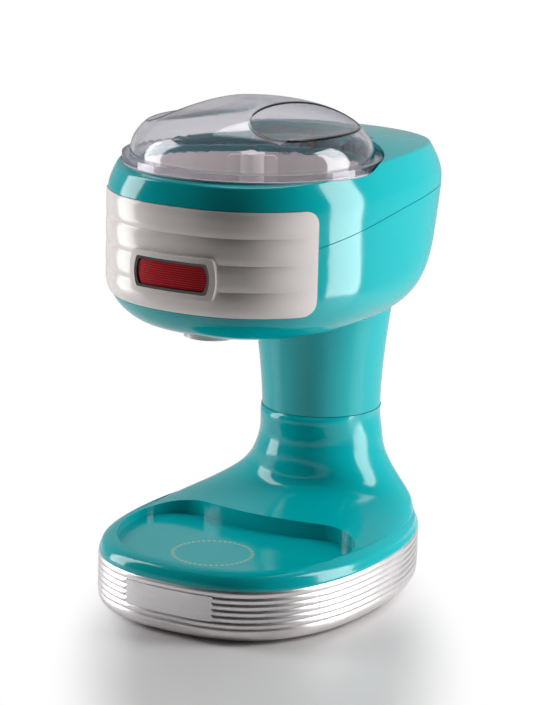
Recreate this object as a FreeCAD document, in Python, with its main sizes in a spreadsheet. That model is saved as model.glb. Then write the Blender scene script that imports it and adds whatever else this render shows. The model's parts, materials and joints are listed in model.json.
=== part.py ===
import FreeCAD, Part
import Sketcher
import os
from math import acos, atan2, copysign, cos, degrees, pi, radians, sin, sqrt, tan
from types import SimpleNamespace

# Retro countertop ice crusher: a ribbed base with a cup tray, a rear column, and an overhanging
# head that holds the ice chamber under a clear twist lid, with the gear train and motor below it.
# Front is -Y, right is +X, up is +Z. The origin is on the table, under the middle of the part.

SIZES = [
    ("base_half_width", 93.2, "half width of the base"),
    ("base_front", -128.0, "y of the base front"),
    ("base_rear", 126.75, "y of the base rear"),
    ("base_widest", -8.9, "y where the base is widest"),
    ("base_front_power", 2.55, "superellipse power of the base front"),
    ("base_rear_power", 2.1, "superellipse power of the base rear"),
    ("foot_height", 2.0, "height of a rubber foot below the pan"),
    ("foot_radius", 8.0, "radius of a rubber foot"),
    ("foot_stem", 2.5, "radius of a foot's stem"),
    ("foot_x", 58.0, "x of the feet"),
    ("foot_front", -74.0, "y of the front feet"),
    ("foot_rear", 72.0, "y of the rear feet"),
    ("band_top", 36.15, "z of the top of the ribbed band"),
    ("band_roll", 4.5, "height of the plain roll at the top of the band"),
    ("rib_pitch", 4.1, "height of one rib of the band"),
    ("rib_count", 5, "ribs on the band"),
    ("rib_depth", 0.9, "depth of a groove between ribs"),
    ("band_wall", 4.0, "wall of the band"),
    ("band_tuck", 6.0, "how far the band's lower roll turns in"),
    ("pan_thick", 3.0, "thickness of the base pan"),
    ("fit_gap", 0.3, "gap between nested shells"),
    ("cover_step", 0.8, "how far the cover stands back from the band"),
    ("lip_height", 9.5, "height of the cover's rounded lip"),
    ("lip_round", 6.0, "how far the lip would turn in if it ended level"),
    ("lip_share", 0.95, "share of that rounding after which the flare goes on"),
    ("cover_wall", 3.0, "wall of the cover"),
    ("flare_front", 11.7, "power of the flare in front of the column"),
    ("flare_rear", 7.4, "power of the flare behind the column"),
    ("flare_side", 2.9, "power of the flare beside the column"),
    ("tray_floor", 41.0, "z of the tray floor"),
    ("tray_lip", 10.5, "width of the lip round the tray"),
    ("tray_back", 16.0, "y where the tray's back wall would meet the base's sides"),
    ("tray_bow", 29.0, "how far the tray's back wall bows forward"),
    ("tray_corner", 28.0, "radius of the tray's corners"),
    ("boss_radius", 5.0, "radius of a screw boss"),
    ("base_boss_x", 66.0, "x of the base screw bosses"),
    ("base_boss_front", -30.0, "y of the front base bosses"),
    ("base_boss_rear", 34.0, "y of the rear base bosses"),
    ("screw_radius", 1.5, "radius of a screw shank"),
    ("screw_head", 3.2, "radius of a screw head"),
    ("screw_head_height", 2.0, "height of a screw head"),
    ("screw_length", 11.0, "length of a screw shank"),
    ("screw_gap", 0.1, "gap round a screw shank"),
    ("push_gap", 0.02, "gap round a pushed-in stem"),
    ("plate_half_width", 34.0, "half width of the name plate"),
    ("plate_thick", 1.2, "thickness of the name plate"),
    ("plate_zigzag", 2.0, "depth of the zigzag at the name plate's ends"),
    ("plate_sink", 0.3, "how far the name plate lies behind the ribs"),
    ("gland_z", 19.0, "z of the cord gland"),
    ("gland_bore", 3.6, "radius of the gland bore"),
    ("gland_body", 6.0, "radius of the gland body"),
    ("gland_flange", 8.5, "radius of the gland flange"),
    ("gland_seat", 0.6, "height of the flat seat for the gland behind the band"),
    ("gland_flange_thick", 2.6, "thickness of the gland flange"),
    ("gland_nut", 3.5, "thickness of the gland's inner nut"),
    ("gland_length", 12.0, "length of the gland inside the base"),
    ("column_y", 67.9, "y of the column axis"),
    ("column_half_width", 40.1, "half width of the column at its seam"),
    ("column_half_depth", 42.6, "half depth of the column at its seam"),
    ("column_seam", 113.7, "z of the column seam"),
    ("column_step", 0.6, "how far the lower column stands proud at the seam"),
    ("neck_grow_width", 13.9, "growth of the neck's half width up to the head"),
    ("neck_grow_depth", 7.4, "growth of the neck's half depth up to the head"),
    ("neck_rise", 103.2, "height over which the neck grows so much"),
    ("neck_power", 1.6, "power of the neck's growth"),
    ("neck_lean", 3.7, "how far the neck leans forward over that height"),
    ("neck_wall", 3.0, "wall of the neck"),
    ("tube_y", 58.0, "y of the column tube"),
    ("tube_radius", 17.0, "outer radius of the column tube"),
    ("tube_wall", 2.0, "wall of the column tube"),
    ("tube_flange", 30.0, "radius of the column tube's foot flange"),
    ("tube_flange_thick", 3.0, "thickness of the foot flange"),
    ("nut_radius", 22.0, "corner radius of the column nut"),
    ("nut_height", 5.0, "height of the column nut"),
    ("head_half_width", 91.15, "half width of the head"),
    ("head_front", -125.7, "y of the head front"),
    ("head_rear", 130.0, "y of the head rear"),
    ("head_widest", -14.4, "y where the head is widest"),
    ("head_front_power", 2.34, "superellipse power of the head front"),
    ("head_rear_power", 2.71, "superellipse power of the head rear"),
    ("head_bottom", 191.9, "z of the head underside"),
    ("head_wall", 3.0, "wall of the head shells"),
    ("chin_in", 34.5, "how far the front and sides turn in below"),
    ("chin_height", 33.4, "height of that rounding"),
    ("hull_in", 80.3, "how far the rear turns in below"),
    ("hull_height", 96.7, "height of the rear rounding"),
    ("brow_in", 4.4, "how far the rim leans in above the panel"),
    ("brow_height", 13.6, "height of that lean"),
    ("crown_top", 307.4, "z of the highest point of the deck"),
    ("crown_y", 18.8, "y of the highest point of the deck"),
    ("crown_radius_y", 723.0, "radius of the deck's arch from front to rear"),
    ("crown_radius_x", 516.0, "radius of the deck's arch from side to side"),
    ("rim_round", 2.5, "rounding of the deck's outer edge"),
    ("seam_top", 273.2, "z of the top of the arched seam between the head shells"),
    ("seam_y", 86.0, "y of the top of the seam's arch"),
    ("seam_radius", 771.0, "radius of the seam's arch"),
    ("seam_gap", 0.5, "open line at the seam"),
    ("panel_bottom", 211.9, "z of the lower edge of the front panel"),
    ("panel_height", 67.5, "height of the front panel"),
    ("panel_bands", 4, "bulged bands on the panel"),
    ("panel_bulge", 1.5, "how far a band of the panel bulges"),
    ("panel_fade", 80.0, "distance from the middle where the bands have faded out"),
    ("panel_groove", 0.2, "how far the grooves between the bands stand out of the head"),
    ("panel_sink", 1.6, "how deep the panel sits in the shells"),
    ("panel_half_angle", 62.9, "angle of the panel's ends from the front"),
    ("panel_hub_y", -41.4, "y where the panel's end planes meet"),
    ("panel_corner", 9.0, "radius of the panel's corners"),
    ("panel_gap", 0.4, "gap round the panel"),
    ("badge_z", 236.5, "z of the badge"),
    ("badge_width", 55.0, "width of the badge bezel"),
    ("badge_height", 19.5, "height of the badge bezel"),
    ("badge_rim", 1.6, "width of the bezel's rim"),
    ("badge_bow", 2.2, "how far the badge's ends bow out"),
    ("frame_width", 63.0, "width of the raised frame round the badge"),
    ("frame_height", 27.0, "height of the raised frame"),
    ("frame_out", 4.3, "how far the frame stands out of the head"),
    ("badge_seat", 1.6, "how far out of the head the badge's seat is"),
    ("bezel_out", 4.0, "how far the bezel stands out of the head"),
    ("lens_out", 3.1, "how far the lens stands out of the head"),
    ("lid_y", -32.5, "y of the lid and rotor axis"),
    ("lid_radius", 84.0, "radius of the lid flange"),
    ("lid_gap", 1.0, "gap between the lid flange and its recess"),
    ("ledge", 295.0, "z of the ledge that the lid rests on"),
    ("ledge_thick", 4.0, "thickness of the ledge"),
    ("mouth_radius", 78.0, "radius of the mouth inside the ledge"),
    ("rim_radius", 97.0, "radius of the solid rim round the recess"),
    ("seal_thick", 1.0, "thickness of the lid seal"),
    ("seal_inner", 82.4, "inner radius of the lid seal"),
    ("flange_thick", 4.5, "thickness of the lid flange"),
    ("dome_radius", 79.0, "radius of the lid dome at its foot"),
    ("dome_height", 36.0, "height of the lid dome above its flange"),
    ("dome_power", 2.2, "superellipse power of the dome"),
    ("lid_wall", 2.5, "wall of the lid"),
    ("skirt_depth", 5.0, "depth of the lid's skirt in the mouth"),
    ("scoop_radius", 60.0, "radius of a finger scoop's hollow"),
    ("scoop_reach", 62.0, "distance of a hollow's axis from the lid axis"),
    ("scoop_rise", 79.5, "height of a hollow's axis above the flange"),
    ("scoop_angle", -7.0, "direction of the right scoop"),
    ("scoop_round", 2.0, "rounding of a scoop's edge"),
    ("lug_reach", 7.5, "how far a lug stands out of the flange"),
    ("lug_half_angle", 5.5, "half angle of a lug"),
    ("lug_angle", 67.0, "direction of the right lug"),
    ("lug_gap", 0.5, "gap round a lug"),
    ("lid_turn", 20.0, "turn of the lid from set on to locked"),
    ("plunger_radius", 1.2, "radius of the switch plunger"),
    ("plunger_ring", 80.8, "distance of the plunger from the lid axis"),
    ("plunger_travel", 2.2, "travel of the switch plunger"),
    ("switch_length", 20.0, "length of the switch"),
    ("switch_width", 6.0, "width of the switch"),
    ("switch_height", 9.5, "height of the switch"),
    ("chamber_radius", 77.0, "outer radius of the ice chamber"),
    ("chamber_wall", 2.5, "wall of the ice chamber"),
    ("chamber_flange", 83.0, "radius of the chamber's flange"),
    ("chamber_floor", 246.0, "z of the underside of the chamber floor"),
    ("bush_radius", 7.0, "outer radius of the shaft bush"),
    ("bush_boss", 11.0, "radius of the boss round the bush"),
    ("bush_length", 12.0, "length of the bush"),
    ("seal_cord", 1.2, "cord radius of the shaft seal"),
    ("slot_near", 29.0, "distance of the ice slot's near end from the axis"),
    ("slot_length", 40.0, "length of the ice slot"),
    ("slot_width", 9.0, "width of the ice slot"),
    ("blade_width", 16.0, "width of the blade"),
    ("blade_thick", 1.2, "thickness of the blade"),
    ("blade_tilt", 24.0, "tilt of the blade"),
    ("blade_rise", 0.8, "height of the blade's edge above the floor"),
    ("shaft_radius", 5.0, "radius of the drive shaft"),
    ("journal_radius", 4.0, "radius of the shaft's lower journal"),
    ("running_gap", 0.04, "running gap of a shaft in its hole"),
    ("hex_radius", 4.6, "corner radius of the shaft's hexagon"),
    ("hex_length", 14.0, "length of the shaft's hexagon"),
    ("hub_radius", 8.0, "radius of the rotor hub"),
    ("hub_top", 301.5, "z of the top of the rotor hub"),
    ("wing_reach", 16.5, "reach of the hub's grip wings"),
    ("wing_thick", 3.0, "thickness of a grip wing"),
    ("wing_round", 4.0, "rounding of a grip wing's corners"),
    ("paddle_reach", 70.0, "reach of a rotor paddle"),
    ("paddle_height", 26.0, "height of a rotor paddle"),
    ("paddle_thick", 4.0, "thickness of a rotor paddle"),
    ("paddle_gap", 2.0, "gap between a paddle and the chamber floor"),
    ("rotor_angle", 30.0, "direction of the grip wings"),
    ("coarse_module", 1.5, "module of the low-speed gears"),
    ("fine_module", 1.0, "module of the motor stage"),
    ("pressure_angle", 25.0, "pressure angle of the gears"),
    ("backlash", 0.12, "backlash of a gear"),
    ("driven_teeth", 30, "teeth of the driven gear"),
    ("idler_teeth", 36, "teeth of the idler"),
    ("small_teeth", 14, "teeth of the compound gear's small wheel"),
    ("large_teeth", 44, "teeth of the compound gear's large wheel"),
    ("pinion_teeth", 12, "teeth of the motor pinion"),
    ("gear_bottom", 218.0, "z of the underside of the low-speed gears"),
    ("gear_face", 8.0, "face width of the low-speed gears"),
    ("large_face", 5.0, "face width of the compound gear's large wheel"),
    ("gear_step", 1.0, "height between the two wheels of the compound gear"),
    ("pin_radius", 3.0, "radius of a gear pin"),
    ("gear_plate_z", 213.0, "z of the underside of the gear plate"),
    ("gear_plate_thick", 2.5, "thickness of the gear plate"),
    ("gear_plate_half_width", 37.0, "half width of the gear plate"),
    ("gear_plate_front", -54.0, "y of the gear plate's front edge"),
    ("gear_plate_rear", 63.0, "y of the gear plate's rear edge"),
    ("post_x", 27.0, "x of the posts under the gear plate"),
    ("post_front", -47.0, "y of the front posts"),
    ("post_rear", 38.0, "y of the rear posts"),
    ("motor_plate_z", 236.0, "z of the underside of the motor plate"),
    ("motor_plate_thick", 2.5, "thickness of the motor plate"),
    ("motor_plate_half_width", 36.0, "half width of the motor plate"),
    ("motor_plate_front", 38.0, "y of the motor plate's front edge"),
    ("motor_plate_rear", 104.0, "y of the motor plate's rear edge"),
    ("spacer_radius", 4.5, "radius of a spacer"),
    ("spacer_x", 30.5, "x of the spacers"),
    ("spacer_y", 45.0, "y of the spacers"),
    ("strut_x", 23.5, "x of the rear struts"),
    ("strut_y", 98.0, "y of the rear struts"),
    ("motor_radius", 24.0, "radius of the motor"),
    ("motor_length", 44.0, "length of the motor can"),
    ("cap_length", 6.0, "length of the motor's end cap"),
    ("motor_shaft_radius", 2.0, "radius of the motor shaft"),
    ("motor_screw_x", 12.0, "x of the motor screws"),
    ("chute_half_width", 11.0, "half width of the chute at its top"),
    ("chute_wall", 2.0, "wall of the chute"),
    ("chute_gap", 2.5, "gap between the chute and the blade's bed"),
    ("chute_bottom", 189.0, "z of the chute's outlet"),
    ("outlet_radius", 16.0, "inner radius of the outlet"),
    ("outlet_y", -78.0, "y of the outlet"),
]

doc = FreeCAD.newDocument("ice_crusher")
sheet = doc.addObject("Spreadsheet::Sheet", "dims")
for row, (alias, value, meaning) in enumerate(SIZES, 1):
    sheet.set("A%d" % row, meaning)
    sheet.set("B%d" % row, str(value))
    sheet.setAlias("B%d" % row, alias)
doc.recompute()
d = SimpleNamespace(**{alias: float(sheet.get(alias)) for alias, value, meaning in SIZES})

V = FreeCAD.Vector
UP = V(0, 0, 1)
nodes = {}


# Small helpers: bound primitives, booleans and shapes

def bind(thing, **formulas):
    """Binds properties to formulas of the sheet; a double underscore stands for a dot."""
    for name, formula in formulas.items():
        thing.setExpression(name.replace("__", "."), formula)
    return thing


def cylinder(name, radius, height, x, y, z):
    """An upright bound cylinder on the point (x, y, z)."""
    made = doc.addObject("Part::Cylinder", name)
    return bind(made, Radius=radius, Height=height, Placement__Base__x=x,
                Placement__Base__y=y, Placement__Base__z=z)


def block(name, half_x, front, rear, low, high):
    """A bound box, centred in x, from front to rear and from low to high."""
    made = doc.addObject("Part::Box", name)
    return bind(made, Length="2 * (%s)" % half_x, Width="(%s) - (%s)" % (rear, front),
                Height="(%s) - (%s)" % (high, low), Placement__Base__x="-(%s)" % half_x,
                Placement__Base__y=front, Placement__Base__z=low)


def fused(name, *parts):
    made = doc.addObject("Part::MultiFuse", name)
    made.Shapes = list(parts)
    return made


def cut(name, base, *tools):
    made = doc.addObject("Part::Cut", name)
    made.Base = base
    made.Tool = tools[0] if len(tools) == 1 else fused(name + "_tools", *tools)
    return made


def group(name, *parts):
    made = doc.addObject("Part::Compound", name)
    made.Links = list(parts)
    return made


def feature(name, shape):
    made = doc.addObject("Part::Feature", name)
    made.Shape = shape
    return made


def node(name, made):
    """Registers an object as a sub-part under its own name."""
    made.Label = name
    nodes[name] = made
    return made


def rod(radius, low, high, x=0.0, y=0.0):
    """An upright cylinder shape."""
    return Part.makeCylinder(radius, high - low, V(x, y, low), UP)


def ring(outer, inner, low, high, y):
    return rod(outer, low, high, 0, y).cut(rod(inner, low - 1, high + 1, 0, y))


def hexagon(radius, low, high, y):
    corners = [V(radius * cos(k * pi / 3), y + radius * sin(k * pi / 3), low) for k in range(7)]
    return Part.Face(Part.makePolygon(corners)).extrude(V(0, 0, high - low))


def outline_points(half_width, front, rear, widest, front_power, rear_power, z, count=32):
    """Points of a superellipse with its own reach and power in front of and behind its widest line."""
    points = []
    for i in range(count):
        angle = pi / 2 + 2 * pi * i / count
        c = cos(angle)
        s = sin(angle)
        power = front_power if s < 0 else rear_power
        reach = widest - front if s < 0 else rear - widest
        x = half_width * copysign(abs(c) ** (2 / power), c)
        y = widest + reach * copysign(abs(s) ** (2 / power), s)
        points.append(V(x, y, z))
    return points


def closed_spline(points):
    curve = Part.BSplineCurve()
    curve.interpolate(points, PeriodicFlag=True)
    return Part.Wire(curve.toShape())


def outline(*sizes):
    return closed_spline(outline_points(*sizes))


def loft(wires):
    return Part.makeLoft(wires, True, False, False, 3)


def rounding(share, turn):
    """Inset of a quarter-ellipse rounding: 0 at share 0 and the whole turn at share 1."""
    share = min(max(share, 0.0), 1.0)
    return turn * (1 - sqrt(1 - share * share))


# Base

def base_outline(inset, z):
    return outline(d.base_half_width - inset, d.base_front + inset, d.base_rear - inset,
                   d.base_widest, d.base_front_power, d.base_rear_power, z)


def bulge(low, high, low_inset, high_inset):
    """A slab of the base whose side bulges from its low inset out to the outline and back."""
    middle = (low + high) / 2
    wires = [base_outline(low_inset, low), base_outline(0.0, middle), base_outline(high_inset, high)]
    return loft(wires)


def rib_foot():
    """The z where the ribs end and the plain lower roll begins."""
    return d.band_top - d.band_roll - d.rib_count * d.rib_pitch


def base_band():
    """The silver band: a plain top roll, ribs, and a lower roll that turns in to the pan."""
    bottom = d.foot_height
    foot = rib_foot()
    lower = []
    for t in (0.0, 0.12, 0.3, 0.55, 0.8, 1.0):
        inset = rounding(1 - t, d.band_tuck) + d.rib_depth * t ** 6
        lower.append(base_outline(inset, bottom + (foot - bottom) * t))
    slabs = [loft(lower)]
    for i in range(int(d.rib_count)):
        low = foot + i * d.rib_pitch
        slabs.append(bulge(low, low + d.rib_pitch, d.rib_depth, d.rib_depth))
    slabs.append(bulge(d.band_top - d.band_roll, d.band_top, d.rib_depth, d.cover_step))
    solid = slabs[0].multiFuse(slabs[1:])
    inner = loft([base_outline(d.band_wall + d.band_tuck, bottom - 1),
                  base_outline(d.band_wall + d.band_tuck, bottom + d.pan_thick)])
    inner = inner.fuse(loft([base_outline(d.band_wall, bottom + d.pan_thick),
                             base_outline(d.band_wall, d.band_top + 1)]))
    start = V(0, d.base_rear - 2 * d.gland_length, d.gland_z)
    hole = Part.makeCylinder(d.gland_body + d.screw_gap, 3 * d.gland_length, start, V(0, 1, 0))
    low = V(0, d.base_rear - d.band_wall, d.gland_z)
    seat = Part.makeCylinder(d.gland_flange + 1, d.band_wall + d.gland_seat, low, V(0, 1, 0))
    behind = loft([base_outline(d.plate_thick, 0), base_outline(d.plate_thick, d.band_top)])
    return solid.fuse(seat).cut(inner).cut(hole).cut(plate_prism(d.fit_gap).cut(behind))


def plate_prism(grow):
    """The name plate's outline, with a pointed end beside each rib, drawn through the band's front."""
    low = rib_foot() + d.rib_pitch - grow
    steps = int(d.rib_count) - 1
    rise = (d.band_top - d.band_roll + grow - low) / steps
    reach = d.plate_half_width + grow
    right = []
    for i in range(steps):
        right.append(V(reach - d.plate_zigzag, 0, low + i * rise))
        right.append(V(reach, 0, low + (i + 0.5) * rise))
    right.append(V(reach - d.plate_zigzag, 0, low + steps * rise))
    left = [V(-p.x, 0, p.z) for p in reversed(right)]
    points = [V(p.x, d.base_front - 5, p.z) for p in right + left]
    face = Part.Face(Part.makePolygon(points + points[:1]))
    return face.extrude(V(0, 40, 0))


def base_nameplate():
    """A bare plate, bent to the band, that lies in the ribs at the front."""
    outer = loft([base_outline(d.plate_sink, 0), base_outline(d.plate_sink, d.band_top)])
    inner = loft([base_outline(d.plate_thick, -1), base_outline(d.plate_thick, d.band_top + 1)])
    return outer.cut(inner).common(plate_prism(0.0))


def lip_top():
    """Height above the band where the lip goes over into the flare."""
    return d.lip_height * d.lip_share


def cover_outline(height, inset):
    """Outline of the cover at a height above the band: a rounded lip, then a flare up to the column."""
    z = d.band_top + height
    if height <= lip_top():
        return base_outline(d.cover_step + rounding(height / d.lip_height, d.lip_round) + inset, z)
    top = d.column_seam - d.fit_gap
    share = min((height - lip_top()) / (top - d.band_top - lip_top()), 1.0)
    front_share = (1 - share) ** d.flare_front
    rear_share = (1 - share) ** d.flare_rear
    side_share = (1 - share) ** d.flare_side
    turned = d.cover_step + rounding(d.lip_share, d.lip_round)
    half_width = d.column_half_width + d.column_step
    half_depth = d.column_half_depth + d.column_step
    column_front = d.column_y - half_depth
    column_rear = d.column_y + half_depth
    width = half_width + (d.base_half_width - turned - half_width) * side_share
    front = column_front + (d.base_front + turned - column_front) * front_share
    rear = column_rear + (d.base_rear - turned - column_rear) * rear_share
    widest = d.column_y + (d.base_widest - d.column_y) * front_share
    front_power = 2 + (d.base_front_power - 2) * front_share
    rear_power = 2 + (d.base_rear_power - 2) * rear_share
    return outline(width - inset, front + inset, rear - inset, widest, front_power, rear_power, z)


def cover_solid(inset, drop):
    """The cover's outside, or its hollow: inset from the sides and dropped from the top."""
    whole = d.column_seam - d.fit_gap - d.band_top
    lip = [lip_top() * t for t in (0.0, 0.35, 0.65, 0.87, 1.0)]
    rise = whole - lip_top()
    shares = (0.02, 0.06, 0.14, 0.26, 0.42, 0.62, 0.82, 1.0)
    flare = [lip_top() + rise * share for share in shares]
    wires = [cover_outline(height, inset) for height in lip + flare]
    solid = loft(wires)
    solid.translate(V(0, 0, -drop))
    return solid


def tray_prism(grow, low):
    """The cup tray: the base outline inside its lip, closed at the rear by a wall that bows forward."""
    lip = d.cover_step + d.tray_lip - grow
    height = d.column_seam - low
    inside = loft([base_outline(lip, low), base_outline(lip, d.column_seam)])
    reach = d.base_half_width
    back = d.tray_back + grow
    arc = Part.Arc(V(reach, back, low), V(0, back - d.tray_bow, low), V(-reach, back, low)).toShape()
    front = d.base_front - 10
    corners = [V(-reach, back, low), V(-reach, front, low), V(reach, front, low), V(reach, back, low)]
    face = Part.Face(Part.Wire([arc] + Part.makePolygon(corners).Edges))
    prism = inside.common(face.extrude(V(0, 0, height)))
    upright = [edge for edge in prism.Edges if abs(edge.BoundBox.ZLength - height) < 0.01]
    rear = [edge for edge in upright if edge.BoundBox.YMin > back - d.tray_bow]
    return prism.makeFillet(d.tray_corner, rear)


def base_boss_places():
    return [(sx * d.base_boss_x, y) for sx in (-1, 1) for y in (d.base_boss_front, d.base_boss_rear)]


def base_cover():
    """The glossy base cover: lip, cup tray and the flare that becomes the lower column."""
    outer = cover_solid(0.0, 0.0)
    tray_shell = tray_prism(d.cover_wall, d.tray_floor - d.cover_wall)
    hollow = cover_solid(d.cover_wall, d.cover_wall).cut(tray_shell)
    rim = d.band_wall + d.cover_wall
    mouth = loft([base_outline(rim, d.band_top - d.cover_wall), base_outline(rim, d.band_top)])
    shell = outer.cut(tray_prism(0.0, d.tray_floor)).cut(hollow).cut(mouth)
    pan_top = d.foot_height + d.pan_thick
    room = hollow.fuse(rod(2 * d.base_half_width, pan_top, d.band_top + d.cover_wall / 6))
    for x, y in base_boss_places():
        boss = rod(d.boss_radius, pan_top, d.column_seam, x, y).common(room)
        pilot = rod(d.screw_radius + d.screw_gap, pan_top - 1, pan_top + d.screw_length + 1, x, y)
        shell = shell.fuse(boss.cut(pilot))
    return shell.cut(rod(d.tube_radius + d.fit_gap, d.band_top, d.column_seam + 1, 0, d.tube_y))


def pan_holes():
    low = d.foot_height - 1
    high = d.foot_height + d.pan_thick + 1
    holes = [rod(d.screw_radius + 2 * d.screw_gap, low, high, x, y) for x, y in base_boss_places()]
    sink = d.foot_height + d.screw_head_height + d.screw_gap
    holes += [rod(d.screw_head + d.screw_gap, low, sink, x, y) for x, y in base_boss_places()]
    for y in (d.foot_front, d.foot_rear):
        holes += [rod(d.foot_stem, low, high, sx * d.foot_x, y) for sx in (-1, 1)]
    return holes


def base_pan():
    """The pan that closes the base, with holes for its screws and feet."""
    rim = d.band_wall + d.band_tuck + d.fit_gap
    sheet_metal = loft([base_outline(rim, d.foot_height), base_outline(rim, d.foot_height + d.pan_thick)])
    return sheet_metal.cut(Part.makeCompound(pan_holes()))


def base_parts():
    node("base_band", feature("Band", base_band()))
    node("base_cover", feature("Cover", base_cover()))
    node("base_pan", feature("Pan", base_pan()))
    node("base_nameplate", feature("NamePlate", base_nameplate()))
    feet = []
    for i, (x, y) in enumerate(four("dims.foot_x", "dims.foot_front", "dims.foot_rear")):
        pad = cylinder("FootPad%d" % i, "dims.foot_radius", "dims.foot_height", x, y, "0")
        stem = cylinder("FootStem%d" % i, "dims.foot_stem - dims.push_gap", "dims.pan_thick", x, y,
                        "dims.foot_height")
        feet.append(fused("Foot%d" % i, pad, stem))
    node("rubber_feet", group("Feet", *feet))
    screws = []
    for i, (x, y) in enumerate(four("dims.base_boss_x", "dims.base_boss_front", "dims.base_boss_rear")):
        screws.append(screw("BaseScrew%d" % i, x, y, "dims.foot_height", "dims.screw_length + 1", True))
    node("base_screws", group("BaseScrews", *screws))
    node("cord_gland", feature("Gland", cord_gland()))


def four(x, front, rear):
    """The four places at plus and minus x, at the front and at the rear, as formulas."""
    return [(side, y) for side in ("-" + x, x) for y in (front, rear)]


def screw(name, x, y, z, length, upward):
    """A pan-head screw: its head starts at z and the shank goes on up, or hangs below its head."""
    head = cylinder(name + "Head", "dims.screw_head", "dims.screw_head_height", x, y, z)
    start = "%s + dims.screw_head_height" % z if upward else "%s - (%s)" % (z, length)
    shank = cylinder(name + "Shank", "dims.screw_radius", length, x, y, start)
    return fused(name, head, shank)


def cord_gland():
    """The sleeve at the rear that a mains cord would pass through, with its flange and inner nut."""
    along = V(0, 1, 0)
    start = d.base_rear - d.gland_length
    flange = d.base_rear + d.gland_seat + d.screw_gap
    nut_start = d.base_rear - d.band_wall - 2 * d.fit_gap - d.gland_nut
    body = Part.makeCylinder(d.gland_body, flange - start, V(0, start, d.gland_z), along)
    collar = Part.makeCylinder(d.gland_flange, d.gland_flange_thick, V(0, flange, d.gland_z), along)
    nut = Part.makeCylinder(d.gland_flange, d.gland_nut, V(0, nut_start, d.gland_z), along)
    bore = Part.makeCylinder(d.gland_bore, 3 * d.gland_length, V(0, start - 10, d.gland_z), along)
    return body.multiFuse([collar, nut]).cut(bore)


# Column

def neck_outline(share, inset):
    """Ellipse of the neck, which widens from the seam up into the head."""
    growth = share ** d.neck_power
    half_width = d.column_half_width + d.neck_grow_width * growth - inset
    half_depth = d.column_half_depth + d.neck_grow_depth * growth - inset
    middle = d.column_y - d.neck_lean * share
    z = d.column_seam + d.neck_rise * share
    return outline(half_width, middle - half_depth, middle + half_depth, middle, 2, 2, z)


def neck_sleeve():
    """The upper half of the column, cut to the underside of the head."""
    shares = (0.0, 0.2, 0.4, 0.6, 0.8, 1.0, 1.2, 1.35)
    outer = loft([neck_outline(share, 0.0) for share in shares])
    inner = loft([neck_outline(share, d.neck_wall) for share in shares])
    return outer.cut(inner).cut(head_solid(-d.fit_gap, d.head_bottom - d.fit_gap))


def tube_top():
    return nut_seat() + d.nut_height


def nut_seat():
    """The z of the flat boss in the head that the column nut bears on."""
    return d.gear_plate_z - d.nut_height - 2


def column_parts():
    node("neck_sleeve", feature("Neck", neck_sleeve()))
    foot = d.foot_height + d.pan_thick
    tube = rod(d.tube_radius, foot, tube_top(), 0, d.tube_y)
    flange = rod(d.tube_flange, foot, foot + d.tube_flange_thick, 0, d.tube_y)
    bore = rod(d.tube_radius - d.tube_wall, foot - 1, tube_top() + 1, 0, d.tube_y)
    node("column_tube", feature("Tube", tube.fuse(flange).cut(bore)))
    nut = hexagon(d.nut_radius, nut_seat(), tube_top(), d.tube_y)
    thread = rod(d.tube_radius + d.screw_gap, nut_seat() - 1, tube_top() + 1, 0, d.tube_y)
    node("column_nut", feature("Nut", nut.cut(thread)))


# Head shells

def head_points(inset, z):
    """Outline of the head at z: rounded in below at the front and sides, drawn in like a hull at the rear."""
    chin = rounding((d.head_bottom + d.chin_height - z) / d.chin_height, d.chin_in)
    hull = rounding((d.head_bottom + d.hull_height - z) / d.hull_height, d.hull_in)
    brow_foot = d.panel_bottom + d.panel_height
    brow = d.brow_in * max((z - brow_foot) / d.brow_height, 0.0) ** 1.5
    side = brow + chin + inset
    return outline_points(d.head_half_width - side, d.head_front + side, d.head_rear - brow - hull - inset,
                          d.head_widest, d.head_front_power, d.head_rear_power, z)


def head_outline(inset, z):
    return closed_spline(head_points(inset, z))


def head_levels(bottom):
    """Heights of the head's sections, closer together where it curves in below and above."""
    brow_foot = d.panel_bottom + d.panel_height
    chin_top = d.head_bottom + d.chin_height
    lower = [bottom + (chin_top - bottom) * t for t in (0.0, 0.015, 0.06, 0.16, 0.34, 0.62, 1.0)]
    middle = [chin_top + (brow_foot - chin_top) * t for t in (0.33, 0.67, 1.0)]
    upper = [brow_foot + d.brow_height * t for t in (0.6, 1.2, 1.7, 2.2)]
    return lower + middle + upper


def head_solid(inset, bottom):
    """The head as one solid up past its crown; bottom is the z of its flat underside."""
    return loft([shifted(head_outline(inset, max(z - (bottom - d.head_bottom), d.head_bottom)), z)
                 for z in head_levels(bottom)])


def shifted(wire, z):
    """The wire moved to the height z."""
    wire.translate(V(0, 0, z - wire.BoundBox.ZMin))
    return wire


def crown_solid(drop):
    """Everything under the arched deck, lowered by drop: an arc turned about a low axis along Y."""
    top = d.crown_top - drop
    reach = 150.0
    fall = d.crown_radius_y - sqrt(d.crown_radius_y ** 2 - reach ** 2)
    left = V(0, d.crown_y - reach, top - fall)
    right = V(0, d.crown_y + reach, top - fall)
    arc = Part.Arc(left, V(0, d.crown_y, top), right).toShape()
    low = d.head_bottom - 40
    sides = Part.makePolygon([right, V(0, right.y, low), V(0, left.y, low), left])
    face = Part.Face(Part.Wire([arc] + sides.Edges))
    axis = V(0, 0, d.crown_top - d.crown_radius_x)
    half = degrees(atan2(d.head_half_width + 20, d.crown_radius_x))
    face.rotate(axis, V(0, 1, 0), -half)
    return face.revolve(axis, V(0, 1, 0), 2 * half)


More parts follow.
